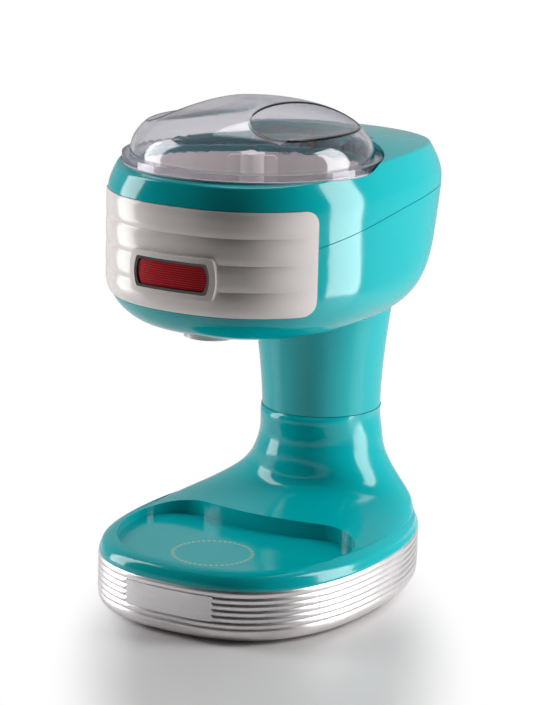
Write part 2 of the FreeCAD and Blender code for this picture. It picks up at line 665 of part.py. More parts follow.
def above_seam(lift):
    """The space above the arched seam between the two head shells."""
    reach = 170.0
    fall = d.seam_radius - sqrt(d.seam_radius ** 2 - reach ** 2)
    front = V(-150, d.seam_y - 2 * reach, 0)
    front.z = d.seam_top + lift - (d.seam_radius - sqrt(d.seam_radius ** 2 - 4 * reach ** 2))
    rear = V(-150, d.seam_y + reach, d.seam_top + lift - fall)
    arc = Part.Arc(front, V(-150, d.seam_y, d.seam_top + lift), rear).toShape()
    high = d.crown_top + 60
    sides = Part.makePolygon([rear, V(-150, rear.y, high), V(-150, front.y, high), front])
    return Part.Face(Part.Wire([arc] + sides.Edges)).extrude(V(300, 0, 0))


def panel_window(grow):
    """The panel's window: a wedge round the front with rounded corners."""
    low = d.panel_bottom - grow
    high = d.panel_bottom + d.panel_height + grow
    reach = 150.0
    turn = radians(d.panel_half_angle)
    hub = d.panel_hub_y + grow / sin(turn)
    right = V(reach * sin(turn), hub - reach * cos(turn), low)
    left = V(-right.x, right.y, low)
    apex = V(0, hub, low)
    front = [V(reach, right.y - 200, low), V(-reach, right.y - 200, low)]
    wedge = Part.Face(Part.makePolygon([apex, right] + front + [left, apex])).extrude(V(0, 0, high - low))
    flat = [edge for edge in wedge.Edges if edge.BoundBox.ZLength < 0.01]
    radial = [edge for edge in flat if abs(abs(edge.tangentAt(edge.FirstParameter).x) - sin(turn)) < 0.01]
    return wedge.makeFillet(d.panel_corner + grow, radial)


def panel_recess():
    """What the shells lose to the panel, its gap included."""
    inner = head_skin(-d.panel_sink, d.panel_bottom - 2, d.panel_bottom + d.panel_height + 2)
    return panel_window(d.panel_gap).cut(inner)


def band_levels(low, high, count):
    return [low + (high - low) * i / (count - 1) for i in range(count)]


def lid_slots():
    """Notches that let the lid's lugs down, and the undercuts that they turn into."""
    slots = []
    outer = d.lid_radius + d.lug_reach + d.lug_gap
    half = d.lug_half_angle + 1.0
    top = d.ledge + d.seal_thick + d.flange_thick + d.lug_gap
    for angle in (d.lug_angle, 180 - d.lug_angle):
        slots.append(sector(outer, d.mouth_radius, d.ledge, d.crown_top + 10, angle - half, angle + half))
        slots.append(sector(outer, d.mouth_radius, d.ledge, top, angle - half - d.lid_turn, angle + half))
    return slots


def sector(outer, inner, low, high, start, end):
    """A piece of a ring round the lid axis between two directions in degrees."""
    made = Part.makeCylinder(outer, high - low, V(0, 0, low), UP, end - start)
    made = made.cut(Part.makeCylinder(inner, high - low + 2, V(0, 0, low - 1), UP))
    made.rotate(V(0, 0, 0), UP, start)
    made.translate(V(0, d.lid_y, 0))
    return made


def upper_housing():
    """The upper head shell: arched deck, solid rim round the lid's recess, ledge and lug slots."""
    outer = head_solid(0.0, d.head_bottom).common(crown_solid(0.0))
    rim = [edge for edge in outer.Edges if edge.BoundBox.ZMin > d.panel_bottom + d.panel_height]
    outer = outer.makeFillet(d.rim_round, rim)
    hollow = head_solid(d.head_wall, d.head_bottom + d.head_wall).common(crown_solid(d.head_wall))
    hollow = hollow.cut(rod(d.rim_radius, d.ledge - d.ledge_thick, d.crown_top + 9, 0, d.lid_y))
    shell = outer.cut(hollow).common(above_seam(d.seam_gap))
    shell = shell.cut(rod(d.mouth_radius, d.ledge - 30, d.crown_top + 9, 0, d.lid_y))
    shell = shell.cut(rod(d.lid_radius + d.lid_gap, d.ledge, d.crown_top + 9, 0, d.lid_y))
    shell = shell.cut(Part.makeCompound(lid_slots())).cut(panel_recess())
    low = d.ledge - d.ledge_thick - 1
    return shell.cut(rod(d.plunger_radius + d.fit_gap, low, d.ledge + 1, 0, d.lid_y + d.plunger_ring))


def post_places():
    """Places of the posts under the gear plate."""
    return [(sx * d.post_x, y) for sx in (-1, 1) for y in (d.post_front, d.post_rear)]


def strut_places():
    """Places of the taller posts under the motor plate."""
    return [(sx * d.strut_x, d.strut_y) for sx in (-1, 1)]


def lower_housing():
    """The lower head shell: a tub with posts for both plates and a seat for the column nut."""
    outer = head_solid(0.0, d.head_bottom)
    hollow = head_solid(d.head_wall, d.head_bottom + d.head_wall)
    tub = outer.cut(hollow).cut(above_seam(0.0)).cut(panel_recess())
    posts = [rod(d.boss_radius, d.head_bottom, d.gear_plate_z, x, y) for x, y in post_places()]
    posts += [rod(d.boss_radius, d.head_bottom, d.motor_plate_z, x, y) for x, y in strut_places()]
    posts.append(rod(d.nut_radius + 3, d.head_bottom, nut_seat(), 0, d.tube_y))
    tub = tub.multiFuse([post.common(outer) for post in posts])
    pilots = []
    for places, seat in ((post_places(), d.gear_plate_z), (strut_places(), d.motor_plate_z)):
        low = seat - d.screw_length - 1
        pilots += [rod(d.screw_radius + d.screw_gap, low, seat + 1, x, y) for x, y in places]
    low = d.head_bottom - 10
    pilots.append(rod(d.tube_radius + d.screw_gap, low, tube_top() + 5, 0, d.tube_y))
    outlet = d.outlet_radius + d.chute_wall + d.fit_gap
    pilots.append(rod(outlet, low, d.head_bottom + 3 * d.head_wall, 0, d.outlet_y))
    return tub.cut(Part.makeCompound(pilots))


# Front panel and badge

def head_skin(out, low, high, count=7):
    """The head's solid between two heights, grown outwards."""
    return loft([head_outline(-out, z) for z in band_levels(low, high, count)])


def barrel_prism(width, height, bow, grow):
    """A badge outline with bowed ends, drawn through the front of the head."""
    half = width / 2 - bow + grow
    tall = height / 2 + grow
    start = d.head_front - 30
    corners = [V(half, start, d.badge_z - tall), V(half, start, d.badge_z + tall),
               V(-half, start, d.badge_z + tall), V(-half, start, d.badge_z - tall)]
    right = Part.Arc(corners[0], V(half + bow, start, d.badge_z), corners[1]).toShape()
    left = Part.Arc(corners[2], V(-half - bow, start, d.badge_z), corners[3]).toShape()
    top = Part.makeLine(corners[1], corners[2])
    bottom = Part.makeLine(corners[3], corners[0])
    prism = Part.Face(Part.Wire([right, top, left, bottom])).extrude(V(0, 60, 0))
    along = [edge for edge in prism.Edges if edge.BoundBox.YLength > 59]
    return prism.makeFillet(height / 9, along)


def panel_outline(swell, z):
    """The panel's outer line at z: a swell at the front that fades out towards the panel's ends."""
    even = d.panel_groove + d.panel_bulge / 3
    points = []
    for plain, full in zip(head_points(-even, z), head_points(-d.panel_groove - swell, z)):
        fade = min(max((d.panel_fade - abs(plain.x)) / d.panel_fade * 3, 0.0), 1.0)
        share = fade * fade * (3 - 2 * fade)
        points.append(plain + (full - plain) * share)
    return closed_spline(points)


def front_panel():
    """The pale panel: bulged bands, and a raised frame round the badge's seat."""
    pitch = d.panel_height / d.panel_bands
    bands = []
    for i in range(int(d.panel_bands)):
        low = d.panel_bottom + i * pitch
        wires = []
        for t in (0.0, 0.06, 0.18, 0.34, 0.5, 0.66, 0.82, 0.94, 1.0):
            swell = d.panel_bulge * (1 - abs(2 * t - 1) ** 3)
            wires.append(panel_outline(swell, low + pitch * t))
        bands.append(loft(wires))
    outer = bands[0].multiFuse(bands[1:])
    back = d.panel_sink - d.fit_gap / 3
    inner = head_skin(-back, d.panel_bottom - 2, d.panel_bottom + d.panel_height + 2)
    panel = outer.cut(inner).common(panel_window(0.0))
    ridge = skin_slab(d.frame_out, -back / 3, d.frame_height)
    frame = ridge.common(barrel_prism(d.frame_width, d.frame_height, d.badge_bow, 0.0))
    seat = barrel_prism(d.badge_width, d.badge_height, d.badge_bow, d.fit_gap / 2)
    floor = d.badge_seat - d.fit_gap / 3
    seat = seat.cut(head_skin(floor, d.badge_z - d.frame_height, d.badge_z + d.frame_height))
    return panel.fuse(frame).cut(seat)


def skin_slab(out, back, height):
    """A slab that follows the head's front at the badge, between two distances out of the head."""
    tall = height / 2 + 1
    outer = head_skin(out, d.badge_z - tall, d.badge_z + tall)
    return outer.cut(head_skin(back, d.badge_z - tall - 1, d.badge_z + tall + 1))


def badge_bezel():
    """The dark bright frame of the badge."""
    slab = skin_slab(d.bezel_out, d.badge_seat, d.badge_height)
    whole = slab.common(barrel_prism(d.badge_width, d.badge_height, d.badge_bow, 0.0))
    return whole.cut(barrel_prism(d.badge_width, d.badge_height, d.badge_bow, -d.badge_rim))


def badge_lens():
    """The red ribbed window inside the bezel."""
    slab = skin_slab(d.lens_out, d.badge_seat, d.badge_height)
    rim = d.badge_rim + d.running_gap
    return slab.common(barrel_prism(d.badge_width, d.badge_height, d.badge_bow, -rim))


def head_parts():
    node("upper_housing", feature("UpperHousing", upper_housing()))
    node("lower_housing", feature("LowerHousing", lower_housing()))
    node("front_panel", feature("FrontPanel", front_panel()))
    node("badge_bezel", feature("BadgeBezel", badge_bezel()))
    node("badge_lens", feature("BadgeLens", badge_lens()))


def idler_y():
    return d.lid_y + d.coarse_module * (d.driven_teeth + d.idler_teeth) / 2


def compound_y():
    return idler_y() + d.coarse_module * (d.idler_teeth + d.small_teeth) / 2


def motor_y():
    return compound_y() + d.fine_module * (d.large_teeth + d.pinion_teeth) / 2


# Ice chamber, lid and switch

def revolved(points, y):
    """A ring turned about the upright axis at y from (radius, z) corners."""
    corners = [V(radius, 0, z) for radius, z in points]
    face = Part.Face(Part.makePolygon(corners + corners[:1]))
    made = face.revolve(V(0, 0, 0), UP, 360)
    made.translate(V(0, y, 0))
    return made


def chamber_top():
    return d.ledge - d.ledge_thick - d.fit_gap


def floor_top():
    return d.chamber_floor + d.chamber_wall


def slot_box(low, high):
    """The ice slot in front of the blade's edge, between two heights."""
    return Part.makeBox(d.slot_width, d.slot_length, high - low,
                        V(-d.slot_width, d.lid_y - d.slot_near - d.slot_length, low))


def blade_shape(grow):
    """The tilted blade; its sharp edge stands just above the chamber floor beside the slot."""
    made = Part.makeBox(d.blade_width + 2 * grow, d.slot_length + 2 * grow, d.blade_thick + 2 * grow,
                        V(-grow, d.lid_y - d.slot_near - d.slot_length - grow, -d.blade_thick - grow))
    made.rotate(V(0, 0, 0), V(0, 1, 0), d.blade_tilt)
    made.translate(V(0, 0, floor_top() + d.blade_rise))
    return made


def ice_chamber():
    """The white tub: floor with a bush boss and an ice slot, blade bed, and flange under the ledge."""
    inner = d.chamber_radius - d.chamber_wall
    bush_low = d.chamber_floor - d.bush_length
    tub = revolved([(d.bush_radius, bush_low), (d.bush_boss, bush_low), (d.bush_boss, d.chamber_floor),
                    (d.chamber_radius, d.chamber_floor), (d.chamber_radius, chamber_top() - d.chamber_wall),
                    (d.chamber_flange, chamber_top() - d.chamber_wall), (d.chamber_flange, chamber_top()),
                    (inner, chamber_top()), (inner, floor_top()), (seal_pocket(), floor_top()),
                    (seal_pocket(), d.chamber_floor), (d.bush_radius, d.chamber_floor)], d.lid_y)
    bed_low = blade_shape(0.0).BoundBox.ZMin
    bed = Part.makeBox(d.blade_width + 4, d.slot_length + 4, d.chamber_floor - bed_low,
                       V(-2, d.lid_y - d.slot_near - d.slot_length - 2, bed_low))
    room = 4 * d.blade_width
    corner = V(-room / 2, d.lid_y - d.slot_near - d.slot_length - 10, -room - d.blade_thick)
    sweep = Part.makeBox(room, d.slot_length + 20, room, corner)
    sweep.rotate(V(0, 0, 0), V(0, 1, 0), d.blade_tilt)
    sweep.translate(V(0, 0, floor_top() + d.blade_rise))
    tub = tub.fuse(bed.cut(sweep))
    tub = tub.cut(slot_box(d.chamber_floor - 30, floor_top() + 1)).cut(blade_shape(d.running_gap))
    low = chamber_top() - 4 * d.chamber_wall
    hole = rod(d.plunger_radius + d.fit_gap, low, chamber_top() + 1, 0, d.lid_y + d.plunger_ring)
    for x, y in blade_screw_places():
        tub = tub.cut(rod(d.screw_radius + d.screw_gap, bed_low - 1, d.chamber_floor + 1, x, y))
    return tub.cut(hole)


def seal_pocket():
    return d.shaft_radius + 2 * d.seal_cord + d.fit_gap


def blade_screw_places():
    middle = d.lid_y - d.slot_near - d.slot_length / 2
    return [(d.blade_width * 0.62, middle + s * d.slot_length * 0.3) for s in (-1, 1)]


def blade():
    made = blade_shape(0.0)
    for x, y in blade_screw_places():
        made = made.cut(rod(d.screw_radius + d.screw_gap, d.chamber_floor - 30, floor_top() + 5, x, y))
    return made


def blade_screws():
    """Screws that hold the blade to its bed from below."""
    made = []
    for x, y in blade_screw_places():
        fall = (x + d.screw_head) * tan(radians(d.blade_tilt))
        low = floor_top() + d.blade_rise - fall - d.blade_thick * 1.2
        head = rod(d.screw_head, low - d.screw_head_height, low, x, y)
        made.append(head.fuse(rod(d.screw_radius, low, d.chamber_floor, x, y)))
    return Part.makeCompound(made)


def flange_low():
    return d.ledge + d.seal_thick


def flange_top():
    return flange_low() + d.flange_thick


def dome(radius, height, foot):
    """A solid dome: a superellipse turned about the lid axis, standing on the height foot."""
    steps = 18
    points = []
    for i in range(steps + 1):
        angle = pi / 2 * i / steps
        out = radius * cos(angle) ** (2 / d.dome_power)
        points.append(V(out, 0, foot + height * sin(angle) ** (2 / d.dome_power)))
    points[-1] = V(0, 0, foot + height)
    curve = Part.BSplineCurve()
    curve.interpolate(points)
    base = Part.makePolygon([points[-1], V(0, 0, foot), points[0]])
    made = Part.Face(Part.Wire([curve.toShape()] + base.Edges)).revolve(V(0, 0, 0), UP, 360)
    made.translate(V(0, d.lid_y, 0))
    return made


def scoops(grow):
    """Two finger scoops, one each side of a ridge to grip: level cylinders laid along the ridge."""
    made = []
    length = 2 * d.lid_radius
    for turn in (d.scoop_angle, d.scoop_angle + 180):
        across = V(cos(radians(turn)), sin(radians(turn)), 0)
        along = V(-across.y, across.x, 0)
        start = V(0, d.lid_y, flange_top() + d.scoop_rise) + across * d.scoop_reach - along * (length / 2)
        made.append(Part.makeCylinder(d.scoop_radius + grow, length, start, along))
    return made


def plunger_ramp():
    """The ramp in the flange's underside that presses the switch plunger as the lid turns."""
    half = radians(d.lid_turn / 2)
    span = d.plunger_ring * sin(half)
    tip = d.plunger_radius + d.fit_gap
    deep = d.plunger_travel + d.fit_gap
    run = span + tip
    steep = deep + deep * tip / (2 * span)
    points = [V(run, 0, 0), V(run, 0, steep), V(-run, 0, d.fit_gap), V(-run, 0, 0)]
    low = flange_low()
    face = Part.Face(Part.makePolygon(points + points[:1]))
    wedge = face.extrude(V(0, 2 * tip + d.plunger_ring * (1 - cos(half)), 0))
    wedge.translate(V(0, d.plunger_ring * cos(half) - tip, low))
    wedge.rotate(V(0, 0, 0), UP, degrees(half))
    wedge.translate(V(0, d.lid_y, 0))
    return wedge


def lid():
    """The clear lid: dome with finger scoops, flange with two lugs, and a skirt in the mouth."""
    outer = dome(d.dome_radius, d.dome_height, flange_top())
    inner = dome(d.dome_radius - d.lid_wall, d.dome_height - d.lid_wall, flange_top())
    outer = outer.cut(Part.makeCompound(scoops(0.0)))
    high = [edge for edge in outer.Edges if edge.BoundBox.ZMin > flange_top() + 1]
    outer = outer.makeFillet(d.scoop_round, [edge for edge in high if edge.Length > d.scoop_radius])
    for scoop in scoops(d.lid_wall):
        inner = inner.cut(scoop)
    skirt = d.mouth_radius - d.lug_gap
    body = outer.fuse(rod(d.lid_radius, flange_low(), flange_top(), 0, d.lid_y))
    body = body.fuse(rod(skirt, flange_low() - d.skirt_depth, flange_low(), 0, d.lid_y))
    body = body.cut(inner)
    body = body.cut(rod(skirt - d.lid_wall, flange_low() - d.skirt_depth - 1, flange_top(), 0, d.lid_y))
    for angle in (d.lug_angle, 180 - d.lug_angle):
        lug = sector(d.lid_radius + d.lug_reach, d.lid_radius - 1, flange_low(), flange_top(),
                     angle - d.lug_half_angle, angle + d.lug_half_angle)
        body = body.fuse(lug)
    return body.cut(plunger_ramp())


def chamber_parts():
    node("ice_chamber", feature("IceChamber", ice_chamber()))
    node("shaving_blade", feature("Blade", blade()))
    node("blade_screws", feature("BladeScrews", blade_screws()))
    node("lid", feature("Lid", lid()))
    seal = ring(d.lid_radius - d.screw_gap, d.seal_inner, d.ledge, flange_low(), d.lid_y)
    node("lid_seal", feature("LidSeal", seal))
    low = "dims.chamber_floor - dims.bush_length"
    outer = cylinder("BushOuter", "dims.bush_radius", "dims.bush_length", "0", "dims.lid_y", low)
    bore = cylinder("BushBore", "dims.shaft_radius + dims.running_gap", "dims.bush_length + 2", "0",
                    "dims.lid_y", low + " - 1")
    node("shaft_bush", cut("Bush", outer, bore))
    seal = doc.addObject("Part::Torus", "ShaftSeal")
    bind(seal, Radius1="dims.shaft_radius + dims.seal_cord + dims.screw_gap", Radius2="dims.seal_cord",
         Placement__Base__y="dims.lid_y", Placement__Base__z="dims.chamber_floor + dims.seal_cord")
    node("shaft_seal", seal)


def switch_parts():
    """The safety switch under the chamber flange and its plunger, which the turning lid presses."""
    y = "dims.lid_y + dims.plunger_ring"
    top = "dims.ledge - dims.ledge_thick - dims.fit_gap - dims.chamber_wall"
    body = block("SwitchBody", "dims.switch_length / 2", "%s - dims.switch_width / 2" % y,
                 "%s + dims.switch_width / 2" % y, "%s - dims.switch_height" % top, top)
    well = cylinder("SwitchWell", "dims.plunger_radius + dims.running_gap", "dims.switch_height", "0", y,
                    "%s - dims.switch_height / 2 - dims.plunger_travel" % top)
    node("safety_switch", cut("Switch", body, well))
    low = "%s - dims.switch_height / 2" % top
    tip = "dims.ledge + dims.seal_thick + dims.plunger_travel - dims.fit_gap"
    shoulder = "%s - dims.plunger_radius" % tip
    stem = cylinder("PlungerStem", "dims.plunger_radius", "%s - (%s)" % (shoulder, low), "0", y, low)
    nose = doc.addObject("Part::Sphere", "PlungerNose")
    bind(nose, Radius="dims.plunger_radius", Placement__Base__y=y, Placement__Base__z=shoulder)
    node("switch_plunger", fused("Plunger", stem, nose))


# Rotor and gear train

def involute_tooth(teeth, module):
    """Half of one involute tooth as (radius, angle) points, from root to tip."""
    pressure = radians(d.pressure_angle)
    pitch = module * teeth / 2
    base = pitch * cos(pressure)
    tip = pitch + 0.8 * module
    root = pitch - 1.05 * module
    half = pi / (2 * teeth) - d.backlash / (2 * pitch) + tan(pressure) - pressure
    start = max(base, root + 0.15 * module)
    widest = 0.9 * pi / teeth
    points = [(root, min(half, widest))]
    for i in range(5):
        radius = start + (tip - start) * i / 4
        roll = acos(min(base / radius, 1.0))
        points.append((radius, min(half - (tan(roll) - roll), widest)))
    return points


def gear(teeth, module, low, high, bore, y, first):
    """A spur gear about the upright axis at y, with the middle of one tooth in the direction first."""
    teeth = int(teeth)
    flank = involute_tooth(teeth, module)
    corners = []
    for i in range(teeth):
        middle = radians(first) + 2 * pi * i / teeth
        rising = [V(r * cos(middle - a), r * sin(middle - a), low) for r, a in flank]
        falling = [V(r * cos(middle + a), r * sin(middle + a), low) for r, a in reversed(flank)]
        corners += rising + falling
    made = Part.Face(Part.makePolygon(corners + corners[:1])).extrude(V(0, 0, high - low))
    made.translate(V(0, y, 0))
    return made.cut(rod(bore, low - 1, high + 1, 0, y))


def rotor():
    """The white rotor: hub on the shaft's hexagon, two grip wings and three paddles over the floor."""
    low = floor_top() + d.paddle_gap
    hub = rod(d.hub_radius, low, d.hub_top, 0, d.lid_y)
    parts = []
    tall = d.hub_top - d.wing_thick / 2 - low
    wing = Part.makeBox(2 * d.wing_reach, d.wing_thick, tall, V(-d.wing_reach, -d.wing_thick / 2, low))
    across = [edge for edge in wing.Edges if edge.BoundBox.YLength > d.wing_thick - 0.1]
    wing = wing.makeFillet(d.wing_round, [edge for edge in across if edge.BoundBox.ZMin > low + 1])
    wing.rotate(V(0, 0, 0), UP, d.rotor_angle)
    wing.translate(V(0, d.lid_y, 0))
    parts.append(wing)
    for turn in (0, 120, 240):
        corner = V(0, -d.paddle_thick / 2, low)
        paddle = Part.makeBox(d.paddle_reach, d.paddle_thick, d.paddle_height, corner)
        across = [edge for edge in paddle.Edges if edge.BoundBox.YLength > d.paddle_thick - 0.1]
        tip = [edge for edge in across if edge.BoundBox.ZMin > low + 1 and edge.BoundBox.XMin > 1]
        paddle = paddle.makeFillet(2 * d.paddle_thick, tip)
        paddle.rotate(V(0, 0, 0), UP, d.rotor_angle + 90 + turn)
        paddle.translate(V(0, d.lid_y, 0))
        parts.append(paddle)
    socket = hexagon(d.hex_radius + d.running_gap, floor_top(), hex_top() + d.fit_gap, d.lid_y)
    step = rod(d.shaft_radius + d.fit_gap, low - 1, low + d.fit_gap, 0, d.lid_y)
    return hub.multiFuse(parts).cut(socket).cut(step)


def hex_top():
    return floor_top() + d.paddle_gap + d.hex_length


def drive_shaft():
    """The upright shaft: a lower journal, a collar under the bush and a hexagon for the rotor."""
    collar = d.chamber_floor - d.bush_length - d.fit_gap
    shaft = rod(d.shaft_radius, plate_top(), floor_top() + d.paddle_gap, 0, d.lid_y)
    journal = rod(d.journal_radius, d.gear_plate_z, plate_top(), 0, d.lid_y)
    ring_collar = rod(d.bush_radius, collar - 2, collar, 0, d.lid_y)
    return shaft.multiFuse([journal, ring_collar, hexagon(d.hex_radius, floor_top(), hex_top(), d.lid_y)])


def plate_top():
    return d.gear_plate_z + d.gear_plate_thick


def gear_top():
    return d.gear_bottom + d.gear_face


def compound_gear():
    """Two wheels on one hub: the small one drives the idler, the large one meets the motor pinion."""
    low = gear_top() + d.gear_step
    bore = d.pin_radius + d.running_gap
    small = gear(d.small_teeth, d.coarse_module, d.gear_bottom, gear_top(), bore, compound_y(), 270)
    large = gear(d.large_teeth, d.fine_module, low, low + d.large_face, bore, compound_y(), 90)
    hub = ring(d.pin_radius + 3, bore, plate_top() + d.fit_gap, low + d.large_face + 1, compound_y())
    return small.multiFuse([large, hub])


def idler_gear():
    bore = d.pin_radius + d.running_gap
    wheel = gear(d.idler_teeth, d.coarse_module, d.gear_bottom, gear_top(), bore, idler_y(), 275)
    return wheel.fuse(ring(d.pin_radius + 4, bore, plate_top() + d.fit_gap, gear_top() + 1, idler_y()))


def rotor_parts():
    node("rotor", feature("Rotor", rotor()))
    node("drive_shaft", feature("DriveShaft", drive_shaft()))
    driven = gear(d.driven_teeth, d.coarse_module, d.gear_bottom, gear_top(), d.shaft_radius, d.lid_y, 90)
    node("driven_gear", feature("DrivenGear", driven))
    node("idler_gear", feature("IdlerGear", idler_gear()))
    node("compound_gear", feature("CompoundGear", compound_gear()))
    low = gear_top() + d.gear_step
    high = low + d.large_face + 1.5 * d.gear_step
    pinion = gear(d.pinion_teeth, d.fine_module, low - d.gear_step / 2, high,
                  d.motor_shaft_radius, motor_y(), 285)
    node("motor_pinion", feature("MotorPinion", pinion))


# Plates, motor and chute

def plane_of(body, role):
    return [thing for thing in body.Origin.OriginFeatures if thing.Role == role][0]


def plate(name, half_x, front, rear, low, thick, holes):
    """A padded rectangle on the XY plane, with round holes given as (x, y, radius) formulas."""
    body = doc.addObject("PartDesign::Body", name)
    sketch = body.newObject("Sketcher::SketchObject", name + "Sketch")
    sketch.AttachmentSupport = (plane_of(body, "XY_Plane"), [""])
    sketch.MapMode = "FlatFace"
    sketch.setExpression("AttachmentOffset.Base.z", low)
    corners = [V(-9, -9, 0), V(9, -9, 0), V(9, 9, 0), V(-9, 9, 0)]
    for i in range(4):
        sketch.addGeometry(Part.LineSegment(corners[i], corners[(i + 1) % 4]), False)
    for i in range(4):
        sketch.addConstraint(Sketcher.Constraint("Coincident", i, 2, (i + 1) % 4, 1))
        sketch.addConstraint(Sketcher.Constraint("Vertical" if i % 2 else "Horizontal", i))
    limits = [("DistanceX", 0, "-(%s)" % half_x), ("DistanceY", 0, front),
              ("DistanceX", 2, half_x), ("DistanceY", 2, rear)]
    for kind, line, formula in limits:
        place_point(sketch, kind, line, 1, formula)
    for x, y, radius in holes:
        circle = sketch.addGeometry(Part.Circle(V(1, 1, 0), UP, 1.0), False)
        if x == "0":
            sketch.addConstraint(Sketcher.Constraint("PointOnObject", circle, 3, -2))
        else:
            place_point(sketch, "DistanceX", circle, 3, x)
        place_point(sketch, "DistanceY", circle, 3, y)
        index = sketch.addConstraint(Sketcher.Constraint("Radius", circle, 1.0))
        sketch.setExpression("Constraints[%d]" % index, radius)
    pad = body.newObject("PartDesign::Pad", name + "Pad")
    pad.Profile = sketch
    pad.setExpression("Length", thick)
    doc.recompute()
    return body


def place_point(sketch, kind, geometry, point, formula):
    """Fixes one coordinate of a sketch point from the origin by a formula."""
    index = sketch.addConstraint(Sketcher.Constraint(kind, -1, 1, geometry, point, 5.0))
    sketch.setExpression("Constraints[%d]" % index, formula)


IDLER_Y = "(dims.lid_y + dims.coarse_module * (dims.driven_teeth + dims.idler_teeth) / 2)"
COMPOUND_Y = "(%s + dims.coarse_module * (dims.idler_teeth + dims.small_teeth) / 2)" % IDLER_Y
MOTOR_Y = "(%s + dims.fine_module * (dims.large_teeth + dims.pinion_teeth) / 2)" % COMPOUND_Y
PLATE_TOP = "(dims.gear_plate_z + dims.gear_plate_thick)"
MOTOR_SEAT = "(dims.motor_plate_z + dims.motor_plate_thick)"
HOLE = "dims.screw_radius + dims.screw_gap"


def frame_parts():
    """The two plates, their spacers and screws, and the gear pins."""
    posts = four("dims.post_x", "dims.post_front", "dims.post_rear")
    spacers = [("-dims.spacer_x", "dims.spacer_y"), ("dims.spacer_x", "dims.spacer_y")]
    struts = [("-dims.strut_x", "dims.strut_y"), ("dims.strut_x", "dims.strut_y")]
    holes = [(x, y, HOLE) for x, y in posts + spacers]
    holes += [("0", "dims.lid_y", "dims.journal_radius + dims.running_gap"),
              ("0", IDLER_Y, "dims.pin_radius"), ("0", COMPOUND_Y, "dims.pin_radius")]
    node("gear_plate", plate("GearPlate", "dims.gear_plate_half_width", "dims.gear_plate_front",
                             "dims.gear_plate_rear", "dims.gear_plate_z", "dims.gear_plate_thick", holes))
    holes = [(x, y, HOLE) for x, y in spacers + struts]
    holes += [("-dims.motor_screw_x", MOTOR_Y, HOLE), ("dims.motor_screw_x", MOTOR_Y, HOLE)]
    holes += [("0", MOTOR_Y, "2 * dims.motor_shaft_radius"), ("0", COMPOUND_Y, "dims.pin_radius")]
    node("motor_plate", plate("MotorPlate", "dims.motor_plate_half_width", "dims.motor_plate_front",
                              "dims.motor_plate_rear", "dims.motor_plate_z", "dims.motor_plate_thick", holes))
    height = "dims.motor_plate_z - %s" % PLATE_TOP
    tubes = []
    for i, (x, y) in enumerate(spacers):
        tube = cylinder("SpacerBody%d" % i, "dims.spacer_radius", height, x, y, PLATE_TOP)
        bore = cylinder("SpacerBore%d" % i, HOLE, "dims.motor_plate_z", x, y, "dims.gear_plate_z")
        tubes.append(cut("Spacer%d" % i, tube, bore))
    node("plate_spacers", group("Spacers", *tubes))
    screws = [screw("PostScrew%d" % i, x, y, PLATE_TOP, "dims.screw_length", False)
              for i, (x, y) in enumerate(posts)]
    node("gear_plate_screws", group("PostScrews", *screws))
    screws = [screw("StrutScrew%d" % i, x, y, MOTOR_SEAT, "dims.screw_length", False)
              for i, (x, y) in enumerate(struts)]
    screws += [screw("SpacerScrew%d" % i, x, y, MOTOR_SEAT, "%s - dims.gear_plate_z" % MOTOR_SEAT, False)
               for i, (x, y) in enumerate(spacers)]
    node("motor_plate_screws", group("PlateScrews", *screws))
    idler = "dims.gear_bottom + dims.gear_face + dims.pin_radius - dims.gear_plate_z"
    node("idler_pin", cylinder("IdlerPin", "dims.pin_radius", idler, "0", IDLER_Y, "dims.gear_plate_z"))
    compound = "%s - dims.gear_plate_z" % MOTOR_SEAT
    node("compound_pin", cylinder("CompoundPin", "dims.pin_radius", compound, "0", COMPOUND_Y,
                                  "dims.gear_plate_z"))


def motor_parts():
    """The motor: can, end cap, shaft and the screws that hold it to its plate."""
    bore = "dims.motor_shaft_radius + dims.running_gap"
    sides = ("-dims.motor_screw_x", "dims.motor_screw_x")
    can = cylinder("CanBody", "dims.motor_radius", "dims.motor_length", "0", MOTOR_Y, MOTOR_SEAT)
    below = "%s - 1" % MOTOR_SEAT
    can_bore = cylinder("CanBore", bore, "dims.motor_length + 2", "0", MOTOR_Y, below)
    taps = [cylinder("CanTap%d" % i, HOLE, "dims.screw_length - 2", x, MOTOR_Y, below)
            for i, x in enumerate(sides)]
    node("motor_can", cut("MotorCan", can, can_bore, *taps))
    top = "(%s + dims.motor_length)" % MOTOR_SEAT
    cap = cylinder("CapBody", "dims.motor_radius - 2", "dims.cap_length", "0", MOTOR_Y, top)
    cap_bore = cylinder("CapBore", bore, "dims.cap_length + 2", "0", MOTOR_Y, "%s - 1" % top)
    node("motor_end_cap", cut("MotorCap", cap, cap_bore))
    low = "(dims.gear_bottom + dims.gear_face + dims.gear_step / 2)"
    length = "%s + dims.cap_length + dims.motor_shaft_radius - %s" % (top, low)
    node("motor_shaft", cylinder("MotorShaft", "dims.motor_shaft_radius", length, "0", MOTOR_Y, low))
    head = "dims.motor_plate_z - dims.screw_head_height"
    screws = [screw("MotorScrew%d" % i, x, MOTOR_Y, head, "dims.screw_length - 3", True)
              for i, x in enumerate(sides)]
    node("motor_screws", group("MotorScrews", *screws))


def chute_outline(share, grow, z):
    """The chute's section, from a rounded slot under the chamber to a round outlet."""
    middle = d.lid_y - d.slot_near - d.slot_length / 2
    half_x = d.chute_half_width + (d.outlet_radius - d.chute_half_width) * share + grow
    half_y = d.slot_length / 2 + 1 + (d.outlet_radius - d.slot_length / 2 - 1) * share + grow
    y = middle + (d.outlet_y - middle) * share
    power = 5 - 3 * share
    return outline(half_x, y - half_y, y + half_y, y, power, power, z)


